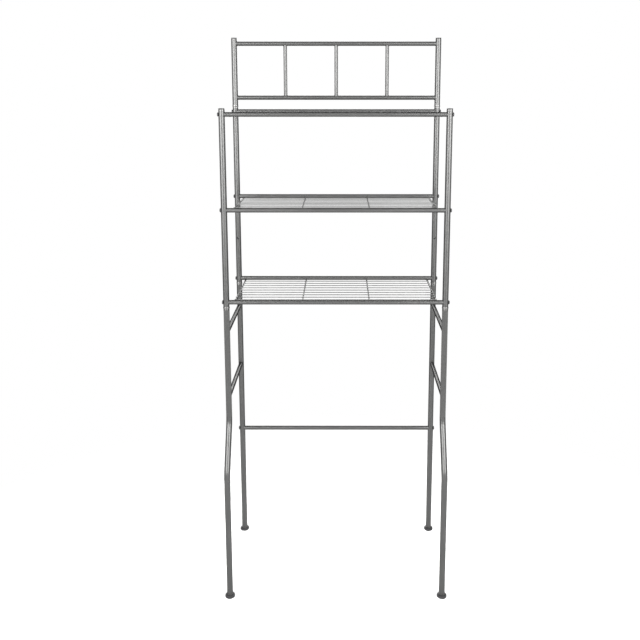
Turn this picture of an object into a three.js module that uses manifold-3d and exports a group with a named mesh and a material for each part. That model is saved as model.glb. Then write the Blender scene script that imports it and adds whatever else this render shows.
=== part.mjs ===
// Storage rack that stands over a toilet: two welded side frames below, four
// upper posts, a welded gallery on top, three wire shelves and a rear stretcher.
// Millimetres, +Z up. The front faces -Y, and left and right are as seen from the front.
// The origin is on the floor, in the middle of the footprint.
import * as THREE from 'three';
import { mergeVertices } from 'three/addons/utils/BufferGeometryUtils.js';
import Module from 'manifold-3d';

const wasm = await Module();
wasm.setup();

// Overall layout
const postSpan = 580; // between post axes, left to right
const postDepth = 250; // between post axes, front to back
const bottomShelfHeight = 816; // floor to the rail axes of the bottom shelf
const shelfPitch = 247; // one shelf to the next
const shelfNames = ['bottom', 'middle', 'top'];
const kickForward = 60; // how far the front feet stand ahead of the front posts
const kickBottom = 353; // where the lower straight of a front leg starts to lean
const kickTop = 483; // where it is upright again
const bendRadius = 60; // to the tube's axis

// Tubes
const tubeRadius = 8;
const tubeWall = 1;
const railRadius = 6;
const railWall = 1;
const spindleRadius = 5;
const spindleWall = 0.8;
const gap = 0.3; // clearance between pieces that touch
const through = 1; // how far a cutter reaches past what it cuts

// Heights and rises
const jointDrop = 17; // post joint, below the bottom shelf's rails
const postTopRise = 13; // top of the upper posts, above the top shelf's rails
const galleryPostLength = 191;
const galleryTopRailDrop = 14; // below the top of the gallery posts
const galleryBottomRailRise = 25.5; // above the top of the upper posts
const upperRungHeight = 733;
const lowerRungHeight = 550;
const stretcherHeight = 340;

// Joints between tubes
const spigotOverlap = 13; // how far a spigot reaches past the bolt that locks it
const swageLength = 5; // from full tube to spigot, inside
const railPlugLength = 17; // threaded plug in each rail end
const wallAccessRadius = 3; // hole in the front of a rear post, for the head of a wall screw
const wallScrewRadius = 1.8; // hole in its back, for the screw itself

// Bolts
const boltRadius = 2.5;
const boltHeadRadius = 5.5;
const boltHeadHeight = 3;
const boltHeadRim = 0.6; // upright edge below the dome
const boltThreadLength = 13; // inside the rail
const boltSocketWidth = 3; // across flats
const boltSocketDepth = 1.7;
const boltPoint = 0.5; // chamfer at the shank's end

// Wire decks
const wireCount = 9;
const wireRadius = 1.2;
const rodRadius = 1.7;
const endRodRadius = 2;
const endRodClearance = 10; // from a post's surface to the nearest end rod
const wireOverhang = 1; // past the end rods
const deckDrop = 2; // rail axis down to the wire axes
const weldSink = 0.4; // how far crossing wires sink into each other

// End plugs
const plugFlange = 2.2; // height that shows above the tube
const plugDepth = 8;
const plugCrown = 0.7;
const plugPoint = 1; // chamfer at the stem's lower end

// Levelling glides
const glideRadius = 13.5;
const glideHeight = 7;
const glideEdge = 3; // upright part of the rim
const glideChamfer = 0.8;
const glideTopRadius = 10;
const glideLean = 1; // where the shoulder's curve heads for, in from the rim
const glideDip = 2; // and below the top
const studRadius = 4;
const studLength = 26; // above the glide
const studSocketDepth = 4; // how far the stud is set into the glide
const studPoint = 1; // chamfer at the stud's upper end
const insertLength = 20;

// Places that follow from the sizes above
const postX = postSpan / 2;
const rearY = (postDepth + kickForward) / 2;
const frontY = rearY - postDepth;
const jointHeight = bottomShelfHeight - jointDrop;
const shelfHeights = shelfNames.map((_, index) => bottomShelfHeight + index * shelfPitch);
const topShelfHeight = shelfHeights[shelfHeights.length - 1];
const postTop = topShelfHeight + postTopRise;
const tubeBore = tubeRadius - tubeWall;
const spigotRadius = tubeBore - gap;
const boltHoleRadius = boltRadius + gap;
const legBottom = glideHeight + gap;
const tubeBite = tubeRadius / 2; // how deep a bar is made to reach into a post, before it is cut to fit
const railBite = railRadius / 2; // the same for a rail

// Facets
const tubeSides = 24;
const railSides = 20;
const smallSides = 12;
const socketSides = 6;
const wireSides = 8;
const bendSteps = 6;
const domeSteps = 5;
const shoulderSteps = 5;

const finishes = {
  nickel: { color: 0x8d8d8b, roughness: 0.33, metalness: 1 },
  darkMetal: { color: 0x3a3a3c, roughness: 0.4, metalness: 1 },
  plug: { color: 0x4a4a4b, roughness: 0.5, metalness: 0 },
  zinc: { color: 0xb4b6b8, roughness: 0.45, metalness: 1 },
  glide: { color: 0x2c2d2f, roughness: 0.55, metalness: 0 },
};

const rack = new THREE.Group();
rack.name = 'over_toilet_storage_rack';

function solidFrom(geometry) {
  const bare = geometry.clone();
  bare.deleteAttribute('normal');
  bare.deleteAttribute('uv');
  const merged = mergeVertices(bare, 1e-4);
  const triVerts = Uint32Array.from(merged.index.array);
  const vertProperties = Float32Array.from(merged.attributes.position.array);
  return new wasm.Manifold(new wasm.Mesh({ numProp: 3, vertProperties, triVerts }));
}

function geometryFrom(solid) {
  const mesh = solid.getMesh();
  const geometry = new THREE.BufferGeometry();
  geometry.setAttribute('position', new THREE.BufferAttribute(mesh.vertProperties, 3));
  geometry.setIndex(new THREE.BufferAttribute(mesh.triVerts, 1));
  geometry.computeVertexNormals();
  return geometry;
}

function joined(geometries) {
  const solids = geometries.map(solidFrom);
  return solids.reduce((whole, next) => whole.add(next));
}

function cutGeometry(body, cutters) {
  const whole = body instanceof THREE.BufferGeometry ? solidFrom(body) : body;
  return geometryFrom(whole.subtract(joined(cutters)));
}

function place(name, geometry, finish, x, y, z) {
  const mesh = new THREE.Mesh(geometry, new THREE.MeshStandardMaterial(finishes[finish]));
  mesh.name = name;
  mesh.position.set(x, y, z);
  rack.add(mesh);
  return mesh;
}

// Round bars, each along one axis, from one coordinate to another
function barZ(radius, from, to, sides) {
  const bar = new THREE.CylinderGeometry(radius, radius, to - from, sides);
  return bar.rotateX(Math.PI / 2).translate(0, 0, (from + to) / 2);
}

function barX(radius, from, to, sides) {
  const bar = new THREE.CylinderGeometry(radius, radius, to - from, sides);
  return bar.rotateZ(Math.PI / 2).translate((from + to) / 2, 0, 0);
}

function barY(radius, from, to, sides) {
  const bar = new THREE.CylinderGeometry(radius, radius, to - from, sides);
  return bar.translate(0, (from + to) / 2, 0);
}

// Cutter for a hole straight through a tube from left to right
function crossHole(radius) {
  return barX(radius, -tubeRadius - through, tubeRadius + through, smallSides);
}

// A solid of revolution about Z from an outline of [radius, height] pairs, bottom to top
function turned(outline, sides) {
  const points = outline.map(([radius, height]) => new THREE.Vector2(radius, height));
  return new THREE.LatheGeometry(points, sides).rotateX(Math.PI / 2);
}

function direction(from, to) {
  return new THREE.Vector3().subVectors(to, from).normalize();
}

// Straight lines joined by tangent arcs, with a station at each end of every line and along each arc
class BentPath extends THREE.Curve {
  constructor(corners, radius) {
    super();
    this.stations = [];
    const last = corners.length - 1;
    this.addStation(corners[0], direction(corners[0], corners[1]));
    for (let i = 1; i < last; i++) {
      this.addArc(corners[i - 1], corners[i], corners[i + 1], radius);
    }
    this.addStation(corners[last], direction(corners[last - 1], corners[last]));
  }

  addStation(point, tangent) {
    this.stations.push({ point, tangent });
  }

  addArc(before, corner, after, radius) {
    const inward = direction(before, corner);
    const outward = direction(corner, after);
    const turn = inward.angleTo(outward);
    const side = outward.clone().addScaledVector(inward, -inward.dot(outward)).normalize();
    const start = corner.clone().addScaledVector(inward, -radius * Math.tan(turn / 2));
    for (let step = 0; step <= bendSteps; step++) {
      const angle = (turn * step) / bendSteps;
      const point = start.clone();
      point.addScaledVector(inward, radius * Math.sin(angle));
      point.addScaledVector(side, radius * (1 - Math.cos(angle)));
      const tangent = inward.clone().multiplyScalar(Math.cos(angle));
      this.addStation(point, tangent.addScaledVector(side, Math.sin(angle)));
    }
  }

  between(t, part, target) {
    const scaled = t * this.steps;
    const index = Math.min(Math.floor(scaled), this.steps - 1);
    return target.lerpVectors(this.stations[index][part], this.stations[index + 1][part], scaled - index);
  }

  get steps() {
    return this.stations.length - 1;
  }

  getPoint(t, target = new THREE.Vector3()) {
    return this.between(t, 'point', target);
  }

  getTangent(t, target = new THREE.Vector3()) {
    return this.between(t, 'tangent', target).normalize();
  }

  getUtoTmapping(u) {
    return u;
  }
}

function sweptBar(path, radius, sides) {
  const section = new THREE.Shape();
  section.absarc(0, 0, radius, 0, 2 * Math.PI);
  const curveSegments = sides / 2; // an arc takes two sides for each
  return new THREE.ExtrudeGeometry(section, { extrudePath: path, steps: path.steps, curveSegments });
}

// Spigot and bore at the upper end of a leg, which enters the post above it
function legTop(boreFrom) {
  const spigotTop = bottomShelfHeight + spigotOverlap;
  return {
    spigot: barZ(spigotRadius, jointHeight - swageLength, spigotTop, tubeSides),
    bore: barZ(spigotRadius - tubeWall, boreFrom, spigotTop + through, tubeSides),
    boltHole: crossHole(boltHoleRadius).translate(0, 0, bottomShelfHeight),
  };
}

// The axis of a front leg, in its own frame: its post stands at y = 0
function frontLegPath(from, to) {
  const foot = -kickForward;
  const corners = [
    new THREE.Vector3(0, foot, from),
    new THREE.Vector3(0, foot, kickBottom),
    new THREE.Vector3(0, 0, kickTop),
    new THREE.Vector3(0, 0, to),
  ];
  return new BentPath(corners, bendRadius);
}

function frontLeg() {
  const boreTop = jointHeight - swageLength;
  const top = legTop(boreTop - through);
  const tube = sweptBar(frontLegPath(legBottom, jointHeight), tubeRadius, tubeSides);
  const bore = sweptBar(frontLegPath(legBottom - through, boreTop), tubeBore, tubeSides);
  return cutGeometry(joined([tube, top.spigot]), [bore, top.bore, top.boltHole]);
}

function rearLeg() {
  const boreTop = jointHeight - swageLength;
  const top = legTop(boreTop - through);
  const tube = barZ(tubeRadius, legBottom, jointHeight, tubeSides);
  const bore = barZ(tubeBore, legBottom - through, boreTop, tubeSides);
  const stretcherHole = crossHole(boltHoleRadius).translate(0, 0, stretcherHeight);
  return cutGeometry(joined([tube, top.spigot]), [bore, top.bore, top.boltHole, stretcherHole]);
}

// Upper post, from its lower end at z = 0, with a bolt hole at each shelf
function upperPost(hasWallHole) {
  const bottom = jointHeight + gap;
  const length = postTop - bottom;
  const tube = barZ(tubeRadius, 0, length, tubeSides);
  const cutters = [barZ(tubeBore, -through, length + through, tubeSides)];
  for (const height of shelfHeights) {
    cutters.push(crossHole(boltHoleRadius).translate(0, 0, height - bottom));
  }
  if (hasWallHole) {
    const height = bottomShelfHeight + shelfPitch / 2 - bottom;
    const access = barY(wallAccessRadius, -tubeRadius - through, 0, smallSides);
    const screwHole = barY(wallScrewRadius, 0, tubeRadius + through, smallSides);
    cutters.push(access.translate(0, 0, height), screwHole.translate(0, 0, height));
  }
  return cutGeometry(tube, cutters);
}

// Gallery post, from its shoulder at z = 0, with a spigot that enters the rear post below
function galleryPost() {
  const spigotBottom = -postTopRise - spigotOverlap;
  const tube = barZ(tubeRadius, 0, galleryPostLength, tubeSides);
  const spigot = barZ(spigotRadius, spigotBottom, swageLength, tubeSides);
  const bore = barZ(tubeBore, swageLength, galleryPostLength + through, tubeSides);
  const spigotBore = barZ(spigotRadius - tubeWall, spigotBottom - through, swageLength + through, tubeSides);
  const boltHole = crossHole(boltHoleRadius).translate(0, 0, -postTopRise - gap);
  return cutGeometry(joined([tube, spigot]), [bore, spigotBore, boltHole]);
}

// The space that the left and right posts keep clear at the ends of a rail
function postClearances() {
  const reach = railRadius + through;
  return [-postX, postX].map((x) => barZ(tubeRadius + gap, -reach, reach, tubeSides).translate(x, 0, 0));
}

// Rail that is bolted to the posts: a tube with a threaded plug in each end
function boltedRail() {
  const end = postX - tubeBite;
  const plugInside = postX - tubeRadius - railPlugLength;
  const bar = barX(railRadius, -end, end, railSides);
  const bore = barX(railRadius - railWall, -plugInside, plugInside, railSides);
  const threads = barX(boltHoleRadius, -end - through, end + through, smallSides);
  return cutGeometry(bar, [...postClearances(), bore, threads]);
}

// Rail that is welded between the gallery posts: a plain tube
function weldedRail() {
  const end = postX - tubeBite;
  const bar = barX(railRadius, -end, end, railSides);
  const bore = barX(railRadius - railWall, -end - through, end + through, railSides);
  return cutGeometry(bar, [...postClearances(), bore]);
}

// Rung that is welded between the front and rear legs of a side frame
function sideRung() {
  const middle = postDepth / 2;
  const end = middle - tubeBite;
  const reach = railRadius + through;
  const bar = barY(railRadius, -end, end, railSides);
  const bore = barY(railRadius - railWall, -end - through, end + through, railSides);
  const legs = [-middle, middle].map((y) => (
    barZ(tubeRadius + gap, -reach, reach, tubeSides).translate(0, y, 0)
  ));
  return cutGeometry(bar, [bore, ...legs]);
}

// Upright between the gallery's rails, centred on its own middle
function gallerySpindle(length) {
  const middle = length / 2;
  const end = middle - railBite;
  const reach = spindleRadius + through;
  const bar = barZ(spindleRadius, -end, end, railSides);
  const bore = barZ(spindleRadius - spindleWall, -end - through, end + through, railSides);
  const rails = [-middle, middle].map((z) => (
    barX(railRadius + gap, -reach, reach, railSides).translate(0, 0, z)
  ));
  return cutGeometry(bar, [bore, ...rails]);
}

// Deck of one shelf: long wires welded on top of four rods that run from rail to rail
function wireDeck() {
  const railY = postDepth / 2;
  const rodEnd = railY - railBite;
  const endRodX = postX - tubeRadius - endRodClearance - endRodRadius;
  const wireEnd = endRodX + endRodRadius + wireOverhang;
  const wirePitch = (postDepth - 2 * railRadius) / (wireCount + 1);
  const bars = [];
  for (let i = 1; i <= wireCount; i++) {
    const wire = barX(wireRadius, -wireEnd, wireEnd, wireSides);
    bars.push(wire.translate(0, i * wirePitch + railRadius - railY, -deckDrop));
  }
  for (const share of [-1, -1 / 3, 1 / 3, 1]) {
    const radius = Math.abs(share) === 1 ? endRodRadius : rodRadius;
    const drop = deckDrop + wireRadius + radius - weldSink;
    bars.push(barY(radius, -rodEnd, rodEnd, wireSides).translate(share * endRodX, 0, -drop));
  }
  const rails = [-railY, railY].map((y) => (
    barX(railRadius + gap, -wireEnd, wireEnd, railSides).translate(0, y, 0)
  ));
  return cutGeometry(joined(bars), rails);
}

// Button-head bolt: the head's seat is at z = 0 and the shank points down
function bolt() {
  const shankLength = 2 * tubeRadius + 2 * gap + boltThreadLength;
  const outline = [[0, -shankLength], [boltRadius - boltPoint, -shankLength]];
  outline.push([boltRadius, boltPoint - shankLength], [boltRadius, 0], [boltHeadRadius, 0]);
  const crown = boltHeadHeight - boltHeadRim;
  const dome = new THREE.EllipseCurve(0, boltHeadRim, boltHeadRadius, crown, 0, Math.PI / 2);
  for (const point of dome.getPoints(domeSteps - 1).slice(0, -1)) {
    outline.push([point.x, point.y]);
  }
  outline.push([0, boltHeadHeight]);
  const socketRadius = boltSocketWidth / Math.sqrt(3);
  const socket = barZ(socketRadius, boltHeadHeight - boltSocketDepth, boltHeadHeight + through, socketSides);
  return cutGeometry(turned(outline, smallSides), [socket]);
}

// Plug that closes the top of a tube: its flange sits on the tube's end at z = 0
function endPlug() {
  const stem = tubeBore - gap;
  const outline = [[0, -plugDepth], [stem - plugPoint, -plugDepth], [stem, plugPoint - plugDepth]];
  outline.push([stem, 0]);
  outline.push([tubeRadius, 0], [tubeRadius, plugFlange - plugCrown]);
  outline.push([tubeRadius - plugCrown, plugFlange], [0, plugFlange]);
  return turned(outline, tubeSides);
}

// Domed foot of a levelling glide, standing on z = 0, with a socket for its stud
function levellingGlide() {
  const shoulder = new THREE.QuadraticBezierCurve(
    new THREE.Vector2(glideRadius, glideEdge),
    new THREE.Vector2(glideRadius - glideLean, glideHeight - glideDip),
    new THREE.Vector2(glideTopRadius, glideHeight),
  );
  const outline = [[0, 0], [glideRadius - glideChamfer, 0], [glideRadius, glideChamfer]];
  for (const point of shoulder.getPoints(shoulderSteps)) {
    outline.push([point.x, point.y]);
  }
  const socketRadius = studRadius + gap;
  const socketBottom = glideHeight - studSocketDepth;
  outline.push([socketRadius, glideHeight], [socketRadius, socketBottom], [0, socketBottom]);
  return turned(outline, tubeSides);
}

// Threaded stud of a levelling glide, from its lower end at z = 0
function glideStud() {
  const length = studSocketDepth - gap + studLength;
  const outline = [[0, 0], [studRadius, 0], [studRadius, length - studPoint]];
  outline.push([studRadius - studPoint, length], [0, length]);
  return turned(outline, smallSides);
}

// Threaded insert in the lower end of a leg, from z = 0 up
function legInsert() {
  const outer = tubeBore - gap;
  const inner = studRadius + gap;
  const outline = [[inner, 0], [outer, 0], [outer, insertLength], [inner, insertLength], [inner, 0]];
  return turned(outline, tubeSides);
}

function addBolt(name, side, y, z) {
  const mesh = place(name, bolt(), 'darkMetal', side * (postX + tubeRadius + gap), y, z);
  mesh.rotation.y = (side * Math.PI) / 2;
}

const sides = [['left', -1], ['right', 1]];

function addSideFrames() {
  for (const [sideName, side] of sides) {
    const x = side * postX;
    place(`${sideName}_front_leg`, frontLeg(), 'nickel', x, frontY, 0);
    place(`${sideName}_rear_leg`, rearLeg(), 'nickel', x, rearY, 0);
    place(`${sideName}_upper_rung`, sideRung(), 'nickel', x, frontY + postDepth / 2, upperRungHeight);
    place(`${sideName}_lower_rung`, sideRung(), 'nickel', x, frontY + postDepth / 2, lowerRungHeight);
  }
}

function addUpperPosts() {
  for (const [sideName, side] of sides) {
    const bottom = jointHeight + gap;
    place(`${sideName}_front_post`, upperPost(false), 'nickel', side * postX, frontY, bottom);
    place(`${sideName}_rear_post`, upperPost(true), 'nickel', side * postX, rearY, bottom);
  }
}

function addGallery() {
  const base = postTop + gap;
  const topRailHeight = base + galleryPostLength - galleryTopRailDrop;
  const bottomRailHeight = base + galleryBottomRailRise;
  for (const [sideName, side] of sides) {
    place(`${sideName}_gallery_post`, galleryPost(), 'nickel', side * postX, rearY, base);
  }
  place('gallery_top_rail', weldedRail(), 'nickel', 0, rearY, topRailHeight);
  place('gallery_bottom_rail', weldedRail(), 'nickel', 0, rearY, bottomRailHeight);
  const middleHeight = (topRailHeight + bottomRailHeight) / 2;
  for (const [spindleName, share] of [['left', -1], ['middle', 0], ['right', 1]]) {
    const spindle = gallerySpindle(topRailHeight - bottomRailHeight);
    place(`${spindleName}_gallery_spindle`, spindle, 'nickel', (share * postSpan) / 4, rearY, middleHeight);
  }
}

function addShelves() {
  shelfNames.forEach((shelfName, index) => {
    const height = shelfHeights[index];
    place(`${shelfName}_shelf_wire_deck`, wireDeck(), 'nickel', 0, (frontY + rearY) / 2, height);
    for (const [railName, y] of [['front', frontY], ['rear', rearY]]) {
      place(`${shelfName}_shelf_${railName}_rail`, boltedRail(), 'nickel', 0, y, height);
      for (const [sideName, side] of sides) {
        addBolt(`${shelfName}_shelf_${sideName}_${railName}_bolt`, side, y, height);
      }
    }
  });
}

function addStretcher() {
  place('rear_stretcher', boltedRail(), 'nickel', 0, rearY, stretcherHeight);
  for (const [sideName, side] of sides) {
    addBolt(`stretcher_${sideName}_bolt`, side, rearY, stretcherHeight);
  }
}

function addEndPlugs() {
  const frontTop = postTop + gap;
  const galleryTop = postTop + gap + galleryPostLength + gap;
  for (const [sideName, side] of sides) {
    place(`${sideName}_front_post_plug`, endPlug(), 'plug', side * postX, frontY, frontTop);
    place(`${sideName}_gallery_post_plug`, endPlug(), 'plug', side * postX, rearY, galleryTop);
  }
}

function addFeet() {
  const studBottom = glideHeight - studSocketDepth + gap;
  for (const [sideName, side] of sides) {
    for (const [rowName, y] of [['front', frontY - kickForward], ['rear', rearY]]) {
      const x = side * postX;
      place(`${sideName}_${rowName}_glide`, levellingGlide(), 'glide', x, y, 0);
      place(`${sideName}_${rowName}_glide_stud`, glideStud(), 'zinc', x, y, studBottom);
      place(`${sideName}_${rowName}_leg_insert`, legInsert(), 'zinc', x, y, legBottom);
    }
  }
}

addSideFrames();
addUpperPosts();
addGallery();
addShelves();
addStretcher();
addEndPlugs();
addFeet();

export default rack;
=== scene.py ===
import math

import bmesh
import bpy
from mathutils import Matrix, Vector


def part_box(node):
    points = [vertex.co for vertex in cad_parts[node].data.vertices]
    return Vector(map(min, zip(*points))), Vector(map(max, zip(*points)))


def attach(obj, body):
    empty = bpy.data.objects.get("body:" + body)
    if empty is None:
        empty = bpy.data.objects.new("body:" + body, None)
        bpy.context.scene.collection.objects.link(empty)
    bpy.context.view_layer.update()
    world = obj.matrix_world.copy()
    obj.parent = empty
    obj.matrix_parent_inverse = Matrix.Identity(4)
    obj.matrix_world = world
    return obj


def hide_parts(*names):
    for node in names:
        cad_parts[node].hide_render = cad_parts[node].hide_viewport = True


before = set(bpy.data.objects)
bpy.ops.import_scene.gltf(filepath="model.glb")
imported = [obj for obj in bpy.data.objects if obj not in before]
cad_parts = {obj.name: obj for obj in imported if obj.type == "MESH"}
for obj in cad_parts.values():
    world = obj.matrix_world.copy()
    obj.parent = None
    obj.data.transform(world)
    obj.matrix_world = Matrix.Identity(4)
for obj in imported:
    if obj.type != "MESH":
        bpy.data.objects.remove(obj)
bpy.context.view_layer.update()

smoothAngle = math.radians(32)
print("frame loaded:", len(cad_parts), "nodes")


class Wire:
    # an output socket that can stand in a sum
    def __init__(self, graph, socket):
        self.graph = graph
        self.socket = socket

    def __add__(self, other):
        return self.graph.calc("ADD", self, other)

    def __radd__(self, other):
        return self.graph.calc("ADD", other, self)

    def __sub__(self, other):
        return self.graph.calc("SUBTRACT", self, other)

    def __rsub__(self, other):
        return self.graph.calc("SUBTRACT", other, self)

    def __mul__(self, other):
        return self.graph.calc("MULTIPLY", self, other)

    def __rmul__(self, other):
        return self.graph.calc("MULTIPLY", other, self)

    def __truediv__(self, other):
        return self.graph.calc("DIVIDE", self, other)

    def __rtruediv__(self, other):
        return self.graph.calc("DIVIDE", other, self)


class Graph:
    def __init__(self, tree):
        self.tree = tree

    def add(self, kind, settings, inputs, output=0):
        node = self.tree.nodes.new(kind)
        for label, value in settings.items():
            if label == "stops":
                self.setStops(node.color_ramp.elements, value)
            else:
                setattr(node, label, value)
        for label, value in inputs.items():
            if isinstance(value, Wire):
                self.tree.links.new(value.socket, node.inputs[label])
            else:
                node.inputs[label].default_value = value
        return Wire(self, node.outputs[output]) if node.outputs else node

    def setStops(self, elements, stops):
        for index, (position, grey) in enumerate(stops):
            element = elements[index] if index < 2 else elements.new(position)
            element.position = position
            element.color = (grey, grey, grey, 1)

    def calc(self, operation, left, right):
        return self.add("ShaderNodeMath", {"operation": operation}, {0: left, 1: right})

    def ramp(self, value, stops):
        return self.add("ShaderNodeValToRGB", {"stops": stops}, {"Fac": value})

    def mixColour(self, factor, first, second):
        inputs = {0: factor, 6: first, 7: second}
        return self.add("ShaderNodeMix", {"data_type": "RGBA"}, inputs, 2)

    def noise(self, place, scale, detail=2.0, roughness=0.5):
        inputs = {"Vector": place, "Scale": scale, "Detail": detail, "Roughness": roughness}
        return self.add("ShaderNodeTexNoise", {}, inputs)


def newMaterial(name):
    material = bpy.data.materials.new(name)
    material.use_nodes = True
    material.node_tree.nodes.clear()
    return material, Graph(material.node_tree)


def closeMaterial(graph, inputs):
    surface = graph.add("ShaderNodeBsdfPrincipled", {}, inputs)
    graph.add("ShaderNodeOutputMaterial", {}, {"Surface": surface})


def plainPlace(graph, stretch=(1, 1, 1)):
    place = graph.add("ShaderNodeTexCoord", {}, {}, "Object")
    return place, graph.add("ShaderNodeMapping", {}, {"Vector": place, "Scale": stretch})


def wornAndLitEdge(graph, place, scale):
    # bare worn edges, and a painted highlight ring on the belled tube ends, broken up so that both are
    # uneven
    edge = graph.add("ShaderNodeAttribute", {"attribute_name": "wearAndHighlight"}, {}, "Fac")
    breaks = graph.ramp(graph.noise(place, scale, 3), [(0.38, 0), (0.62, 1)])
    return edge * breaks


nickel = {
    "dark": (0.108, 0.108, 0.107, 1),
    "light": (0.144, 0.144, 0.142, 1),
    # edge is the colour of bare worn edges and of the painted highlight ring on the belled tube ends
    "edge": (0.34, 0.337, 0.33, 1),
    "edgeTint": (0.4, 0.4, 0.4, 1),
    "roughness": 0.31,
    "streakScale": 1100,
    "streakShare": 0.08,
    "cloudScale": 11,
    "grainScale": 4200,
    "grainShare": 0.45,
    "wearAndHighlightScale": 900,
    "wearAndHighlightShare": 0.7,
    "bump": 0.1,
    "bumpDepth": 0.00002,
}


def nickelFinish(name, stretch, size):
    material, graph = newMaterial(name)
    place, along = plainPlace(graph, stretch)
    streaks = graph.noise(along, size["streakScale"], 3, 0.6)  # polishing lines
    clouds = graph.noise(place, size["cloudScale"], 4, 0.55)  # thicker and thinner plating
    grain = graph.noise(place, size["grainScale"], 1)
    dull = graph.ramp(graph.noise(place, size["cloudScale"] * 6, 3, 0.5), [(0.45, 0), (0.75, 1)])
    tone = clouds * (1 - size["streakShare"]) + streaks * size["streakShare"]
    colour = graph.mixColour(tone, size["dark"], size["light"])
    wornAndLit = wornAndLitEdge(graph, place, size["wearAndHighlightScale"])
    # lighter towards the edge colour: real edge wear, and a painted highlight ring on the belled ends
    colour = graph.mixColour(wornAndLit * size["wearAndHighlightShare"], colour, size["edge"])
    roughness = size["roughness"] + streaks * 0.02 + dull * 0.05 - wornAndLit * 0.06
    height = streaks * (1 - size["grainShare"]) + grain * size["grainShare"]
    relief = {"Height": height, "Strength": size["bump"], "Distance": size["bumpDepth"]}
    closeMaterial(graph, {
        "Base Color": colour,
        "Metallic": 1.0,
        "Roughness": roughness,
        "Specular Tint": size["edgeTint"],
        "Normal": graph.add("ShaderNodeBump", {}, relief),
    })
    return material


boltCoat = {
    "coat": (0.030, 0.030, 0.032, 1),
    "faded": (0.052, 0.052, 0.055, 1),
    "steel": (0.36, 0.355, 0.35, 1),
    "metal": 0.55,
    "roughness": 0.36,
    "lacquer": 0.12,
    "lacquerRoughness": 0.3,
    "cloudScale": 320,
    "pitScale": 3600,
    "wearAndHighlightScale": 1400,
    "wearAndHighlightShare": 0.55,
    "bump": 0.3,
    "bumpDepth": 0.00003,
}


def boltFinish(name, size):
    material, graph = newMaterial(name)
    place, _ = plainPlace(graph)
    clouds = graph.noise(place, size["cloudScale"], 4, 0.6)
    pits = graph.noise(place, size["pitScale"], 2)
    wornAndLit = wornAndLitEdge(graph, place, size["wearAndHighlightScale"])
    colour = graph.mixColour(clouds, size["coat"], size["faded"])
    colour = graph.mixColour(wornAndLit * size["wearAndHighlightShare"], colour, size["steel"])
    relief = {"Height": pits, "Strength": size["bump"], "Distance": size["bumpDepth"]}
    closeMaterial(graph, {
        "Base Color": colour,
        "Metallic": size["metal"] + wornAndLit * 0.4,
        "Roughness": size["roughness"] + clouds * 0.14 - wornAndLit * 0.08,
        "Coat Weight": size["lacquer"],
        "Coat Roughness": size["lacquerRoughness"],
        "Normal": graph.add("ShaderNodeBump", {}, relief),
    })
    return material


plugPlastic = {
    "dark": (0.036, 0.036, 0.037, 1),
    "light": (0.060, 0.060, 0.061, 1),
    "scuff": (0.13, 0.13, 0.13, 1),
    "roughness": 0.36,
    "gloss": 0.35,
    "grain": 2600,
    "cloudScale": 180,
    "wearAndHighlightScale": 1100,
    "wearAndHighlightShare": 0.5,
    "bump": 0.35,
    "bumpDepth": 0.00005,
}

glidePlastic = {
    **plugPlastic,
    "dark": (0.026, 0.026, 0.027, 1),
    "light": (0.044, 0.044, 0.046, 1),
    "scuff": (0.09, 0.088, 0.086, 1),
    "roughness": 0.40,
    "gloss": 0.25,
    "grain": 2100,
}


def mouldedFinish(name, size):
    material, graph = newMaterial(name)
    place, _ = plainPlace(graph)
    clouds = graph.noise(place, size["cloudScale"], 4, 0.6)
    leather = graph.add("ShaderNodeTexVoronoi", {}, {"Vector": place, "Scale": size["grain"]})
    fine = graph.noise(place, size["grain"] * 2, 2)
    wornAndLit = wornAndLitEdge(graph, place, size["wearAndHighlightScale"])
    colour = graph.mixColour(clouds, size["dark"], size["light"])
    colour = graph.mixColour(wornAndLit * size["wearAndHighlightShare"], colour, size["scuff"])
    height = leather * 0.6 + fine * 0.4
    relief = {"Height": height, "Strength": size["bump"], "Distance": size["bumpDepth"]}
    closeMaterial(graph, {
        "Base Color": colour,
        "Roughness": size["roughness"] + clouds * 0.16 - wornAndLit * 0.05,
        "Specular IOR Level": size["gloss"],
        "Normal": graph.add("ShaderNodeBump", {}, relief),
    })
    return material


zinc = {
    "dark": (0.36, 0.365, 0.37, 1),
    "light": (0.50, 0.51, 0.52, 1),
    "spangle": 520,
    "cloudScale": 90,
    "grainScale": 2400,
    "roughness": 0.3,
    "bump": 0.2,
    "bumpDepth": 0.00003,
}


def zincFinish(name, size):
    material, graph = newMaterial(name)
    place, _ = plainPlace(graph)
    cells = {"Vector": place, "Scale": size["spangle"], "Randomness": 1.0}
    spangle = graph.add("ShaderNodeTexVoronoi", {"feature": "F1"}, cells, "Color")
    tint = graph.add("ShaderNodeSeparateColor", {}, {"Color": spangle})
    clouds = graph.noise(place, size["cloudScale"], 3)
    tone = tint * 0.5 + clouds * 0.5
    grain = graph.noise(place, size["grainScale"], 2)
    relief = {"Height": grain, "Strength": size["bump"], "Distance": size["bumpDepth"]}
    closeMaterial(graph, {
        "Base Color": graph.mixColour(tone, size["dark"], size["light"]),
        "Metallic": 1.0,
        "Roughness": size["roughness"] + tone * 0.14,
        "Normal": graph.add("ShaderNodeBump", {}, relief),
    })
    return material


wireNickel = dict(nickel, dark=(0.18, 0.18, 0.178, 1), light=(0.25, 0.25, 0.247, 1), roughness=0.3)
weldNickel = dict(nickel, roughness=0.4)

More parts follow.
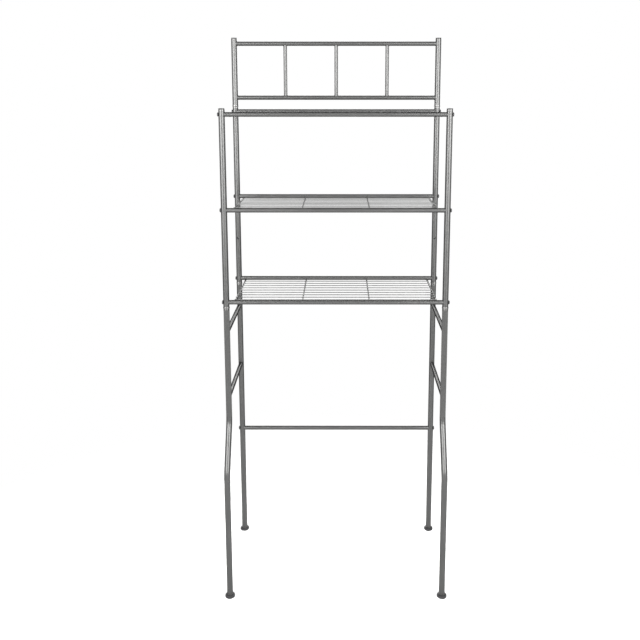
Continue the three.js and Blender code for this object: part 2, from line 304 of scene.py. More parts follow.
uprightNickel = nickelFinish("satinNickelUpright", (1, 1, 0.02), nickel)
crosswiseNickel = nickelFinish("satinNickelCrosswise", (0.02, 1, 1), nickel)
sidewaysNickel = nickelFinish("satinNickelSideways", (1, 0.02, 1), nickel)
wireFinish = nickelFinish("satinNickelWire", (0.05, 0.05, 1), wireNickel)
weldFinish = nickelFinish("satinNickelWeld", (1, 1, 1), weldNickel)
boltMetal = boltFinish("darkBoltCoat", boltCoat)
plugMaterial = mouldedFinish("mouldedPlug", plugPlastic)
glideMaterial = mouldedFinish("mouldedGlide", glidePlastic)
zincMetal = zincFinish("brightZinc", zinc)
print("finishes made")


frames = {  # along the piece, across it (towards the sides of what it meets), and the third way
    "x": (Vector((1, 0, 0)), Vector((0, 1, 0)), Vector((0, 0, 1))),
    "y": (Vector((0, 1, 0)), Vector((1, 0, 0)), Vector((0, 0, 1))),
    "z": (Vector((0, 0, 1)), Vector((0, 1, 0)), Vector((1, 0, 0))),
}


def sixShare(angle, share):
    # 1 on a circle, down to a hexagon's flats at share 1
    corner = math.radians(60)
    flat = math.cos(corner / 2) / math.cos(angle % corner - corner / 2)
    return 1 + share * (flat - 1)


def ring(centre, across, upward, radius, wearAndHighlight=0.0, six=0.0, pull=None):
    return {"centre": centre, "across": across, "upward": upward, "radius": radius,
            "wearAndHighlight": wearAndHighlight, "six": six, "pull": pull}


def ringPoints(item, sides):
    points = []
    for step in range(sides):
        angle = 2 * math.pi * step / sides
        radius = item["radius"] * sixShare(angle, item["six"])
        offset = radius * math.cos(angle)
        point = item["centre"] + item["across"] * offset + item["upward"] * (radius * math.sin(angle))
        if item["pull"]:
            way, hugged = item["pull"]  # the end follows the round tube that it meets
            point = point + way * (hugged - math.sqrt(hugged ** 2 - offset ** 2))
        points.append(point)
    return points


def stitch(form, first, second):
    count = max(len(first), len(second))
    for step in range(count):
        following = (step + 1) % count
        corners = [first[step % len(first)], first[following % len(first)],
                   second[following % len(second)], second[step % len(second)]]
        form.faces.new(list(dict.fromkeys(corners)))


def skin(name, rings, sides, looped, material):
    form = bmesh.new()
    wearAndHighlightLayer = form.verts.layers.float.new("wearAndHighlight")
    loops = []
    for item in rings:
        points = [item["centre"]] if item["radius"] == 0 else ringPoints(item, sides)
        loop = [form.verts.new(point) for point in points]
        for vertex in loop:
            vertex[wearAndHighlightLayer] = item["wearAndHighlight"]
        loops.append(loop)
    following = loops[1:] + loops[:1] if looped else loops[1:]
    for first, second in zip(loops, following):
        stitch(form, first, second)
    bmesh.ops.recalc_face_normals(form, faces=form.faces)
    mesh = bpy.data.meshes.new(name)
    form.to_mesh(mesh)
    form.free()
    mesh.shade_smooth()
    mesh.set_sharp_from_angle(angle=smoothAngle)
    mesh.materials.append(material)
    piece = bpy.data.objects.new(name, mesh)
    bpy.context.scene.collection.objects.link(piece)
    return piece


def turned(name, axis, origin, outline, sides, material, looped=False):
    # a row of the outline holds along and radius, then wear with painted highlight, six and pull where
    # they are needed
    along, across, upward = frames[axis]
    rings = []
    for row in outline:
        place, radius, wearAndHighlight, six, pull = (*row, *(0, 0, None)[len(row) - 2:])
        pulled = (along * pull[0], pull[1]) if pull else None
        rings.append(ring(origin + along * place, across, upward, radius, wearAndHighlight, six, pulled))
    return skin(name, rings, sides, looped, material)


lipSteps = 4


def lip(end, way, radius, size, tall=None, wearAndHighlight=1.0, pull=None):
    # rounded edge from the tube's side to its end face, with the side first; way is +1 at the far end
    rows = []
    for step in range(lipSteps + 1):
        angle = math.pi / 2 * step / lipSteps
        along = end - way * (tall or size) * (1 - math.sin(angle))
        rows.append((along, radius - size * (1 - math.cos(angle)), wearAndHighlight, 0, pull))
    return rows if way > 0 else rows[::-1]


def joinPieces(name, pieces):
    with bpy.context.temp_override(active_object=pieces[0], object=pieces[0],
                                   selected_objects=pieces, selected_editable_objects=pieces):
        bpy.ops.object.join()
    pieces[0].name = name
    pieces[0].data.name = name
    return pieces[0]


def settle(piece, body, slot, *nodes):
    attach(piece, body)
    if nodes:
        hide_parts(*nodes)


def newTree(name, sockets):
    tree = bpy.data.node_groups.new(name, "GeometryNodeTree")
    tree.interface.new_socket("Geometry", in_out="OUTPUT", socket_type="NodeSocketGeometry")
    for label, kind, value in sockets:
        socket = tree.interface.new_socket(label, in_out="INPUT", socket_type="NodeSocket" + kind)
        if value is not None:
            socket.default_value = value
    graph = Graph(tree)
    entry = tree.nodes.new("NodeGroupInput")
    return tree, graph, {label: Wire(graph, entry.outputs[label]) for label, _, _ in sockets}


def closeTree(graph, geometry, material):
    whole = graph.add("GeometryNodeRealizeInstances", {}, {"Geometry": geometry})
    smooth = graph.add("GeometryNodeSetShadeSmooth", {}, {"Geometry": whole})
    painted = graph.add("GeometryNodeSetMaterial", {}, {"Geometry": smooth, "Material": material})
    graph.add("NodeGroupOutput", {}, {"Geometry": painted})


def sweep(graph, line, radius, sides, caps=True):
    curve = graph.add("GeometryNodeMeshToCurve", {}, {"Mesh": line})
    circle = graph.add("GeometryNodeCurvePrimitiveCircle", {}, {"Resolution": sides, "Radius": 1.0})
    inputs = {"Curve": curve, "Profile Curve": circle, "Scale": radius, "Fill Caps": caps}
    return graph.add("GeometryNodeCurveToMesh", {}, inputs)


def swell(graph):
    return graph.add("GeometryNodeInputNamedAttribute", {"data_type": "FLOAT"}, {"Name": "swell"})


def barsTree():
    # one bar, repeated at an even step, each a little out of place
    tree, graph, given = newTree("repeatedBars", [
        ("Bar Axis", "Geometry", None), ("Count", "Int", 9), ("Start", "Vector", None),
        ("Step", "Vector", None), ("Radius", "Float", 0.001), ("Sides", "Int", 12),
        ("Stray", "Vector", None), ("Seed", "Int", 1), ("Material", "Material", None)])
    bar = sweep(graph, given["Bar Axis"], swell(graph) * given["Radius"], given["Sides"])
    line = graph.add("GeometryNodeMeshLine", {"mode": "OFFSET"}, {
        "Count": given["Count"], "Start Location": given["Start"], "Offset": given["Step"]})
    back = graph.add("ShaderNodeVectorMath", {"operation": "SCALE"}, {
        0: given["Stray"], "Scale": -1.0})
    stray = graph.add("FunctionNodeRandomValue", {"data_type": "FLOAT_VECTOR"}, {
        0: back, 1: given["Stray"], "Seed": given["Seed"]})
    spots = graph.add("GeometryNodeSetPosition", {}, {"Geometry": line, "Offset": stray})
    laid = graph.add("GeometryNodeInstanceOnPoints", {}, {"Points": spots, "Instance": bar})
    closeTree(graph, laid, given["Material"])
    return tree


def nubsTree():
    # a flattened drop of weld at every point
    tree, graph, given = newTree("weldNubs", [
        ("Spots", "Geometry", None), ("Size", "Vector", None), ("Seed", "Int", 1),
        ("Material", "Material", None)])
    drop = graph.add("GeometryNodeMeshUVSphere", {}, {"Segments": 8, "Rings": 6, "Radius": 1.0})
    uneven = graph.add("FunctionNodeRandomValue", {"data_type": "FLOAT"}, {
        2: 0.86, 3: 1.14, "Seed": given["Seed"]}, 1)
    scale = graph.add("ShaderNodeVectorMath", {"operation": "SCALE"}, {
        0: given["Size"], "Scale": uneven})
    laid = graph.add("GeometryNodeInstanceOnPoints", {}, {
        "Points": given["Spots"], "Instance": drop, "Scale": scale})
    closeTree(graph, laid, given["Material"])
    return tree


fullTurn = 6.2832


def beadTree():
    # weld bead with ripples along a closed line
    tree, graph, given = newTree("weldBead", [
        ("Seam", "Geometry", None), ("Radius", "Float", 0.0009), ("Ripple", "Float", 0.0016),
        ("Material", "Material", None)])
    travelled = graph.add("GeometryNodeSplineParameter", {}, {}, "Length")
    wave = graph.add("ShaderNodeMath", {"operation": "SINE"}, {
        0: travelled / given["Ripple"] * fullTurn})
    place = graph.add("GeometryNodeInputPosition", {}, {})
    lumps = graph.noise(place, 260.0)
    radius = given["Radius"] * (0.72 + wave * 0.09 + lumps * 0.56)
    bead = sweep(graph, given["Seam"], radius, 8, False)
    closeTree(graph, bead, given["Material"])
    return tree


def fastenerTree():
    # the same fastener at every point, turned to face outwards
    tree, graph, given = newTree("fasteners", [
        ("Places", "Geometry", None), ("Fastener", "Object", None), ("Material", "Material", None)])
    source = graph.add("GeometryNodeObjectInfo", {}, {"Object": given["Fastener"]}, "Geometry")
    facing = graph.add("GeometryNodeInputNamedAttribute", {"data_type": "FLOAT_VECTOR"}, {
        "Name": "facing"})
    laid = graph.add("GeometryNodeInstanceOnPoints", {}, {
        "Points": given["Places"], "Instance": source, "Rotation": facing})
    closeTree(graph, laid, given["Material"])
    return tree


def threadTree():
    # vee thread wound round a core
    tree, graph, given = newTree("screwThread", [
        ("Base", "Vector", None), ("Turns", "Float", 20.0), ("Height", "Float", 0.03),
        ("Radius", "Float", 0.0034), ("Depth", "Float", 0.0006), ("Material", "Material", None)])
    helix = graph.add("GeometryNodeCurveSpiral", {}, {
        "Resolution": 20, "Rotations": given["Turns"], "Start Radius": given["Radius"],
        "End Radius": given["Radius"], "Height": given["Height"]})
    vee = graph.add("GeometryNodeCurvePrimitiveCircle", {}, {
        "Resolution": 4, "Radius": given["Depth"]})
    thread = graph.add("GeometryNodeCurveToMesh", {}, {
        "Curve": helix, "Profile Curve": vee, "Fill Caps": True})
    lifted = graph.add("GeometryNodeTransform", {}, {
        "Geometry": thread, "Translation": given["Base"]})
    closeTree(graph, lifted, given["Material"])
    return tree


def ribsTree():
    # upright ribs round a rim
    tree, graph, given = newTree("rimRibs", [
        ("Centre", "Vector", None), ("Count", "Int", 36), ("Rim", "Float", 0.013),
        ("Rib", "Vector", None), ("Material", "Material", None)])
    spots = graph.add("GeometryNodeMeshCircle", {}, {
        "Vertices": given["Count"], "Radius": given["Rim"]})
    rib = graph.add("GeometryNodeMeshUVSphere", {}, {"Segments": 8, "Rings": 6, "Radius": 1.0})
    index = graph.add("GeometryNodeInputIndex", {}, {})
    turn = graph.add("ShaderNodeCombineXYZ", {}, {"Z": index / given["Count"] * fullTurn})
    laid = graph.add("GeometryNodeInstanceOnPoints", {}, {
        "Points": spots, "Instance": rib, "Rotation": turn, "Scale": given["Rib"]})
    moved = graph.add("GeometryNodeTransform", {}, {
        "Geometry": laid, "Translation": given["Centre"]})
    closeTree(graph, moved, given["Material"])
    return tree


def lineMesh(name, lines, looped=False, swells=None, facings=None):
    # points joined into lines, or loose points where a line has one
    points, edges = [], []
    for line in lines:
        first = len(points)
        points += line
        edges += [(first + i, first + i + 1) for i in range(len(line) - 1)]
        if looped:
            edges.append((first + len(line) - 1, first))
    mesh = bpy.data.meshes.new(name)
    mesh.from_pydata(points, edges, [])
    if swells:
        mesh.attributes.new("swell", "FLOAT", "POINT").data.foreach_set("value", swells)
    if facings:
        flat = [number for facing in facings for number in facing]
        mesh.attributes.new("facing", "FLOAT_VECTOR", "POINT").data.foreach_set("vector", flat)
    return mesh


def grow(name, start, tree, values):
    holder = bpy.data.objects.new(name, start)
    bpy.context.scene.collection.objects.link(holder)
    modifier = holder.modifiers.new(tree.name, "NODES")
    modifier.node_group = tree
    for item in tree.interface.items_tree:
        if item.in_out == "INPUT" and item.name in values:
            modifier[item.identifier] = values[item.name]
    bpy.context.view_layer.update()
    depsgraph = bpy.context.evaluated_depsgraph_get()
    made = bpy.data.meshes.new_from_object(
        holder.evaluated_get(depsgraph), preserve_all_data_layers=True, depsgraph=depsgraph)
    holder.modifiers.clear()
    holder.data = made
    made.set_sharp_from_angle(angle=smoothAngle)
    return holder


repeatedBars = barsTree()
weldNubs = nubsTree()
weldBead = beadTree()
fasteners = fastenerTree()
screwThread = threadTree()
rimRibs = ribsTree()
print("node trees made")


def middle(node):
    low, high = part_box(node)
    return (low + high) / 2


def ends(node, axis):
    low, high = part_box(node)
    return low["xyz".index(axis)], high["xyz".index(axis)]


def uprightPiece(name, node, rows, sides, material, looped=False, height=0):
    centre = middle(node)
    return turned(name, "z", Vector((centre.x, centre.y, height)), rows, sides, material, looped)


bothSides = ("left", "right")
bothRows = ("front", "rear")
shelves = ("bottom", "middle", "top")

tube = {
    "radius": 0.008,
    "wall": 0.001,
    "sides": 48,
    "lip": 0.0007,
    "flare": 0.0007,  # the lower end of a post is belled over the spigot
    "flareHeight": 0.005,
    "neck": 0.0024,  # height of a rolled shoulder
    "neckDepth": 0.00125,
    "gap": 0.0003,
    "plainBelowTop": 0.004,  # where the side runs straight up to the rounded end
    "plainAboveFoot": 0.003,
    "spigotRoot": 0.006,  # how far down the spigot's inner wall goes
}
tubeBore = tube["radius"] - tube["wall"]
spigotRadius = tubeBore - tube["gap"]


def belled(start):
    # outline of the belled lower end, from the end face up
    rim = tube["radius"] + tube["flare"]
    rows = lip(start, -1, rim, tube["lip"])
    # the mask values up the flare paint a light ring: partly a rubbed end, partly a painted highlight
    # where the bell faces the light above
    for share, out, wearAndHighlight in ((0.4, 0.95, 0.9), (0.8, 0.5, 0.8), (1.0, 0.2, 0.2), (1.25, 0, 0)):
        rows.append((start + tube["flareHeight"] * share, tube["radius"] + tube["flare"] * out, wearAndHighlight))
    return rows


def upperPost(name, node, neck, extra=()):
    start, end = ends(node, "z")
    rows = [(start, tubeBore, 0.4)] + belled(start)
    rows += [(height, tube["radius"], 0) for height in extra]
    rows += [(end - tube["plainBelowTop"], tube["radius"])]
    rows += lip(end, 1, tube["radius"], tube["lip"], neck)
    rows += [(end, tubeBore, 0.4)]
    return uprightPiece(name, node, rows, tube["sides"], uprightNickel, True)


wallHole = {
    "access": 0.003,  # front wall
    "screw": 0.0018,  # rear wall
    "reach": 0.012,
    "sides": 28,
    "rows": 5,  # extra rings above and below, so that the wall stays round beside the hole
    "rowPitch": 0.0008,
}


def drillWallHole(post, node, height):
    centre = middle(node)
    reach = wallHole["reach"]
    rows = [(-reach, 0), (-reach, wallHole["access"]), (0, wallHole["access"]),
            (0, wallHole["screw"]), (reach, wallHole["screw"]), (reach, 0)]
    cutter = turned("wallHoleCutter", "y", Vector((centre.x, centre.y, height)), rows,
                    wallHole["sides"], uprightNickel)
    cut = post.modifiers.new("wallHole", "BOOLEAN")
    cut.operation = "DIFFERENCE"
    cut.solver = "EXACT"
    cut.object = cutter
    bpy.context.view_layer.update()
    depsgraph = bpy.context.evaluated_depsgraph_get()
    drilled = bpy.data.meshes.new_from_object(
        post.evaluated_get(depsgraph), preserve_all_data_layers=True, depsgraph=depsgraph)
    post.modifiers.clear()
    post.data = drilled
    drilled.set_sharp_from_angle(angle=smoothAngle)
    bpy.data.objects.remove(cutter)


wallHoleHeight = (middle("bottom_shelf_rear_rail").z + middle("middle_shelf_rear_rail").z) / 2

around = [wallHoleHeight + step * wallHole["rowPitch"]
          for step in range(-wallHole["rows"], wallHole["rows"] + 1)]

for side in bothSides:
    piece = upperPost(side + "FrontPost", side + "_front_post", tube["lip"])
    settle(piece, "rack", "satin_nickel", side + "_front_post")
    piece = upperPost(side + "RearPost", side + "_rear_post", tube["neck"], around)
    drillWallHole(piece, side + "_rear_post", wallHoleHeight)
    settle(piece, "rack", "satin_nickel", side + "_rear_post")

gallery = {"plainBelowTop": 0.003, "boreFloor": 0.005}


def galleryPost(side):
    # spigot down into the rear post, belled end over its shoulder, open bore above
    node = side + "_gallery_post"
    shoulder = ends(side + "_rear_post", "z")[1] + tube["gap"]
    low, end = ends(node, "z")
    floorZ = shoulder + gallery["boreFloor"]
    rows = [(low, spigotRadius - tube["wall"]), (low, spigotRadius),
            (shoulder + tube["lip"], spigotRadius), (shoulder + tube["lip"], tubeBore)]
    rows += belled(shoulder)
    rows += [(end - gallery["plainBelowTop"], tube["radius"], 0)]
    rows += lip(end, 1, tube["radius"], tube["lip"])
    rows += [(end, tubeBore, 0.4), (floorZ, tubeBore), (floorZ, spigotRadius - tube["wall"])]
    return uprightPiece(side + "GalleryPost", node, rows, tube["sides"], uprightNickel, True)


for side in bothSides:
    settle(galleryPost(side), "rack", "satin_nickel", side + "_gallery_post")

leg = {
    "kickBottom": 0.353,
    "kickTop": 0.483,
    "bendRadius": 0.060,
    "bendSteps": 18,
}


def legStations(side):
    # centre line of a front leg from the foot up: (point, tangent)
    foot = middle(side + "_front_glide")
    post = middle(side + "_front_post")
    bottom, top = ends(side + "_front_leg", "z")
    shoulder = ends(side + "_front_post", "z")[0] - tube["gap"]
    corners = [Vector((foot.x, foot.y, bottom)), Vector((foot.x, foot.y, leg["kickBottom"])),
               Vector((post.x, post.y, leg["kickTop"])), Vector((post.x, post.y, shoulder))]
    stations = [(corners[0], Vector((0, 0, 1)))]
    for before, corner, after in zip(corners, corners[1:], corners[2:]):
        inward = (corner - before).normalized()
        outward = (after - corner).normalized()
        turn = inward.angle(outward)
        towards = (outward - inward * inward.dot(outward)).normalized()
        start = corner - inward * (leg["bendRadius"] * math.tan(turn / 2))
        for step in range(leg["bendSteps"] + 1):
            angle = turn * step / leg["bendSteps"]
            point = start + inward * (leg["bendRadius"] * math.sin(angle))
            point += towards * (leg["bendRadius"] * (1 - math.cos(angle)))
            stations.append((point, inward * math.cos(angle) + towards * math.sin(angle)))
    return stations, shoulder, top


def shoulderRows(shoulder, top):
    # rolled shoulder, then the spigot that enters the post above
    inner = spigotRadius - tube["wall"]
    rows = [(shoulder - 2 * tube["neck"], tube["radius"])]
    rows += lip(shoulder, 1, tube["radius"], tube["neckDepth"], tube["neck"], 0.3)
    return rows + [(shoulder, spigotRadius, 0), (top, spigotRadius, 0), (top, inner, 0),
                   (shoulder - tube["spigotRoot"], inner, 0)]


def frontLeg(side):
    stations, shoulder, top = legStations(side)
    right = Vector((1, 0, 0))
    bottom = stations[0][0].z
    rings = []

    def upright(point, rows):
        for height, radius, *wearAndHighlight in rows:
            centre = Vector((point.x, point.y, height))
            rings.append(ring(centre, right, Vector((0, -1, 0)), radius, *wearAndHighlight[:1]))

    upright(stations[0][0], [(bottom, tubeBore, 0.4)])
    upright(stations[0][0], lip(bottom, -1, tube["radius"], tube["lip"]))
    upright(stations[0][0], [(bottom + tube["plainAboveFoot"], tube["radius"], 0)])
    for point, tangent in stations[1:]:
        rings.append(ring(point, right, right.cross(tangent) * -1, tube["radius"]))
    upright(stations[-1][0], shoulderRows(shoulder, top))
    for point, tangent in reversed(stations[1:]):
        rings.append(ring(point, right, right.cross(tangent) * -1, tubeBore))
    return skin(side + "FrontLeg", rings, tube["sides"], True, uprightNickel)


for side in bothSides:
    settle(frontLeg(side), "rack", "satin_nickel", side + "_front_leg")
    node = side + "_rear_leg"
    bottom, top = ends(node, "z")
    shoulder = ends(side + "_rear_post", "z")[0] - tube["gap"]
    rows = [(bottom, tubeBore, 0.4)] + lip(bottom, -1, tube["radius"], tube["lip"])
    rows += [(bottom + tube["plainAboveFoot"], tube["radius"], 0)] + shoulderRows(shoulder, top)
    rows += [(shoulder - tube["spigotRoot"], tubeBore)]
    piece = uprightPiece(side + "RearLeg", node, rows, tube["sides"], uprightNickel, True)
    settle(piece, "rack", "satin_nickel", node)
print("posts and legs made")

rail = {"radius": 0.006, "sides": 40, "lip": 0.0004, "boltBore": 0.0028, "wall": 0.001}
spindle = {"radius": 0.005, "sides": 36, "lip": 0.0004, "wall": 0.0008}
fittedEnd = {"fitted": 0.001, "plain": 0.006}  # how far the fitted shape goes, and where it has gone


def huggedTube(name, node, axis, reach, hugged, size, bore, material):
    # tube whose two ends fit round the tubes that it meets, reach from its middle to their axes
    end = reach - hugged
    fitted, plain = end - fittedEnd["fitted"], end - fittedEnd["plain"]
    rows = [(-end, bore, 0.4, 0, (-1, hugged))]
    rows += lip(-end, -1, size["radius"], size["lip"], wearAndHighlight=0.3, pull=(-1, hugged))
    rows += [(-fitted, size["radius"], 0, 0, (-1, hugged)), (-plain, size["radius"]),
             (plain, size["radius"]), (fitted, size["radius"], 0, 0, (1, hugged))]
    rows += lip(end, 1, size["radius"], size["lip"], wearAndHighlight=0.3, pull=(1, hugged))
    rows += [(end, bore, 0.4, 0, (1, hugged))]
    piece = turned(name, axis, middle(node), rows, size["sides"], material, True)
    settle(piece, "rack", "satin_nickel", node)


postReach = middle("right_front_post").x
postHug = tube["radius"] + tube["gap"]

for shelf in shelves:
    for row in bothRows:
        node = f"{shelf}_shelf_{row}_rail"
        huggedTube(f"{shelf}Shelf{row.title()}Rail", node, "x", postReach, postHug, rail,
                   rail["boltBore"], crosswiseNickel)

huggedTube("rearStretcher", "rear_stretcher", "x", postReach, postHug, rail,
           rail["boltBore"], crosswiseNickel)

for level in ("top", "bottom"):
    huggedTube(f"gallery{level.title()}Rail", f"gallery_{level}_rail", "x", postReach, postHug,
               rail, rail["radius"] - rail["wall"], crosswiseNickel)

depthReach = (middle("left_rear_post").y - middle("left_front_post").y) / 2
for side in bothSides:
    for level in ("upper", "lower"):
        huggedTube(f"{side}{level.title()}Rung", f"{side}_{level}_rung", "y", depthReach, postHug,
                   rail, rail["radius"] - rail["wall"], sidewaysNickel)

galleryReach = (middle("gallery_top_rail").z - middle("gallery_bottom_rail").z) / 2
railHug = rail["radius"] + tube["gap"]
for place in ("left", "middle", "right"):
    huggedTube(f"{place}GallerySpindle", f"{place}_gallery_spindle", "z", galleryReach, railHug,
               spindle, spindle["radius"] - spindle["wall"], uprightNickel)
print("rails, rungs and spindles made")

weld = {"radius": 0.0010, "ripple": 0.0017, "points": 96}


def seam(centre, axis, way, radius, hugged, reach):
    # closed line where a tube's end meets the tube that it is welded to
    along, across, upward = frames[axis]
    line = []
    for step in range(weld["points"]):
        angle = 2 * math.pi * step / weld["points"]
        offset = radius * math.cos(angle)
        distance = reach - math.sqrt(hugged ** 2 - offset ** 2)
        line.append(centre + along * (way * distance) + across * offset
                    + upward * (radius * math.sin(angle)))
    return line


seams = []
for way in (-1, 1):
    for level in ("top", "bottom"):
        seams.append(seam(middle(f"gallery_{level}_rail"), "x", way, rail["radius"],
                          tube["radius"], postReach))
    for side in bothSides:
        for level in ("upper", "lower"):
            seams.append(seam(middle(f"{side}_{level}_rung"), "y", way, rail["radius"],
                              tube["radius"], depthReach))
    for place in ("left", "middle", "right"):
        seams.append(seam(middle(f"{place}_gallery_spindle"), "z", way, spindle["radius"],
                          rail["radius"], galleryReach))
piece = grow("frameWelds", lineMesh("frameWelds", seams, looped=True), weldBead, {
    "Radius": weld["radius"], "Ripple": weld["ripple"], "Material": weldFinish})
settle(piece, "rack", "satin_nickel")
print("welds made")

deck = {
    "wireCount": 9,
    "wireRadius": 0.0012,
    "rodRadius": 0.0017,
    "endRodRadius": 0.0020,
    "endRodX": 0.270,
    "rodEnd": 0.1212,
    "wireDrop": 0.002,  # rail axis down to the wire axes
    "weldSink": 0.0004,
    "sides": 14,
    "stray": 0.00025,
    "rounding": ((0, 0.35), (0.12, 0.66), (0.4, 0.92), (0.8, 1.0)),  # in from a bar's end, and how thick
    "nub": (0.0019, 0.0017, 0.0009),
    "nubDrop": 0.9,
    "tack": (0.0030, 0.0016, 0.0021),
    "tackInset": 0.0004,
    "tackLift": 0.0006,
}


def barAxis(name, axis, half, radius):
    # straight line with its ends rounded off
    along = frames[axis][0]
    steps = [(-half + radius * inset, size) for inset, size in deck["rounding"]]
    steps += [(half - radius * inset, size) for inset, size in reversed(deck["rounding"])]
    line = [along * place for place, _ in steps]
    return lineMesh(name, [line], swells=[size for _, size in steps])


def deckBars(name, axis, half, radius, count, start, step, stray, seed):
    return grow(name, barAxis(name + "Axis", axis, half, radius), repeatedBars, {
        "Count": count, "Start": Vector(start), "Step": Vector(step), "Radius": radius,
        "Sides": deck["sides"], "Stray": Vector(stray), "Seed": seed, "Material": wireFinish})


def wireDeck(shelf, seed):
    node = f"{shelf}_shelf_wire_deck"
    centre = middle(node)
    level = middle(f"{shelf}_shelf_front_rail").z
    wireZ = level - deck["wireDrop"]
    wireHalf = (ends(node, "x")[1] - ends(node, "x")[0]) / 2
    clear = 2 * depthReach - 2 * rail["radius"]
    pitch = clear / (deck["wireCount"] + 1)
    firstY = centre.y - clear / 2 + pitch
    rodDrop = deck["wireRadius"] + deck["rodRadius"] - deck["weldSink"]
    endRodDrop = deck["wireRadius"] + deck["endRodRadius"] - deck["weldSink"]
    wires = deckBars(shelf + "Wires", "x", wireHalf - deck["stray"] * 2, deck["wireRadius"],
                     deck["wireCount"], (centre.x, firstY, wireZ), (0, pitch, 0),
                     (deck["stray"] * 2, deck["stray"], 0), seed)
    innerRods = deckBars(shelf + "InnerRods", "y", deck["rodEnd"], deck["rodRadius"], 2,
                         (-deck["endRodX"] / 3, centre.y, wireZ - rodDrop),
                         (deck["endRodX"] * 2 / 3, 0, 0), (deck["stray"], 0, 0), seed + 1)
    endRods = deckBars(shelf + "EndRods", "y", deck["rodEnd"], deck["endRodRadius"], 2,
                       (-deck["endRodX"], centre.y, wireZ - endRodDrop),
                       (deck["endRodX"] * 2, 0, 0), (0, 0, 0), seed + 2)
    crossings = []
    railEnds = []
    for share in (-1, -1 / 3, 1 / 3, 1):
        x = share * deck["endRodX"]
        for i in range(deck["wireCount"]):
            nubZ = wireZ - deck["wireRadius"] * deck["nubDrop"]
            crossings.append(Vector((x, firstY + i * pitch, nubZ)))
        drop = endRodDrop if abs(share) == 1 else rodDrop
        for way in (-1, 1):
            y = centre.y + way * (deck["rodEnd"] - deck["tackInset"])
            railEnds.append(Vector((x, y, wireZ - drop + deck["tackLift"])))
    nubs = grow(shelf + "Nubs", lineMesh("nubSpots", [crossings]), weldNubs, {
        "Size": Vector(deck["nub"]), "Seed": seed + 3, "Material": weldFinish})
    tacks = grow(shelf + "Tacks", lineMesh("tackSpots", [railEnds]), weldNubs, {
        "Size": Vector(deck["tack"]), "Seed": seed + 4, "Material": weldFinish})
    piece = joinPieces(f"{shelf}ShelfWireDeck", [wires, innerRods, endRods, nubs, tacks])
    settle(piece, "rack", "wire_nickel", node)


for number, shelf in enumerate(shelves):
    wireDeck(shelf, 20 + number * 10)
print("wire decks made")

bolt = {
    "headRadius": 0.0055,
    "headHeight": 0.003,
    "rim": 0.0007,
    "shankRadius": 0.0025,
    "shankLength": 0.029,
    "socket": 0.00173,  # to its corners
    "socketDepth": 0.0017,
    "socketRim": 0.0003,
    "socketEdge": 0.00015,
    "socketPoint": 0.0004,
    "shankEdge": 0.0005,
    "seatEdge": 0.0002,
    "domeTurn": math.radians(62),
    "domeSteps": 7,
    "firstTurn": 0.4,
    "nextTurn": 1.3,  # no two are tightened alike
    "sides": 36,
}


def boltMesh():
    # along +X from the seat; the shank goes the other way
    top = bolt["headHeight"]
    rows = [(-bolt["shankLength"], 0), (-bolt["shankLength"], bolt["shankRadius"] - bolt["shankEdge"]),
            (-bolt["shankLength"] + bolt["shankEdge"], bolt["shankRadius"]), (0, bolt["shankRadius"]),
            (0, bolt["headRadius"] - bolt["seatEdge"], 0.6), (bolt["seatEdge"], bolt["headRadius"], 1.0),
            (bolt["rim"], bolt["headRadius"], 0.5)]
    for step in range(1, bolt["domeSteps"] + 1):
        angle = bolt["domeTurn"] * step / bolt["domeSteps"]
        rise = (top - bolt["rim"]) * math.sin(angle) / math.sin(bolt["domeTurn"])
        rows.append((bolt["rim"] + rise, bolt["headRadius"] * math.cos(angle), 0))
    rows += [(top, bolt["socket"] + bolt["socketRim"], 0.9, 0.5),
             (top - bolt["socketEdge"], bolt["socket"], 1.0, 1),
             (top - bolt["socketDepth"], bolt["socket"], 0, 1),
             (top - bolt["socketDepth"] - bolt["socketPoint"], 0)]
    return turned("boltPattern", "x", Vector((0, 0, 0)), rows, bolt["sides"], boltMetal)


pattern = boltMesh()
boltGroups = {"stretcherBolts": [f"stretcher_{side}_bolt" for side in bothSides]}
for shelf in shelves:
    boltGroups[shelf + "ShelfBolts"] = [f"{shelf}_shelf_{side}_{row}_bolt"
                                        for side in bothSides for row in bothRows]
for name, nodes in boltGroups.items():
    spots, facings = [], []
    for number, node in enumerate(nodes):
        centre = middle(node)
        outward = 1 if centre.x > 0 else -1
        seat = outward * (postReach + tube["radius"] + tube["gap"])
        spots.append(Vector((seat, centre.y, centre.z)))
        turn = bolt["firstTurn"] + number * bolt["nextTurn"]
        facings.append((turn, 0, 0 if outward > 0 else math.pi))
    piece = grow(name, lineMesh(name, [[spot] for spot in spots], facings=facings), fasteners, {
        "Fastener": pattern, "Material": boltMetal})
    settle(piece, "rack", "bolt_metal", *nodes)
bpy.data.objects.remove(pattern)
print("bolts made")

plug = {
    "flange": 0.0022,
    "stem": 0.0067,
    "stemEdge": 0.001,
    "depth": 0.008,
    "underEdge": 0.0002,
    "edge": 0.0006,
    "edgeSteps": 4,
    "rim": 0.0016,
    "dish": 0.00035,
    "dishRim": 0.0021,
    "gateOuter": 0.0011,  # the mark where the plastic came into the mould
    "gateInner": 0.0008,
    "sides": 48,
}


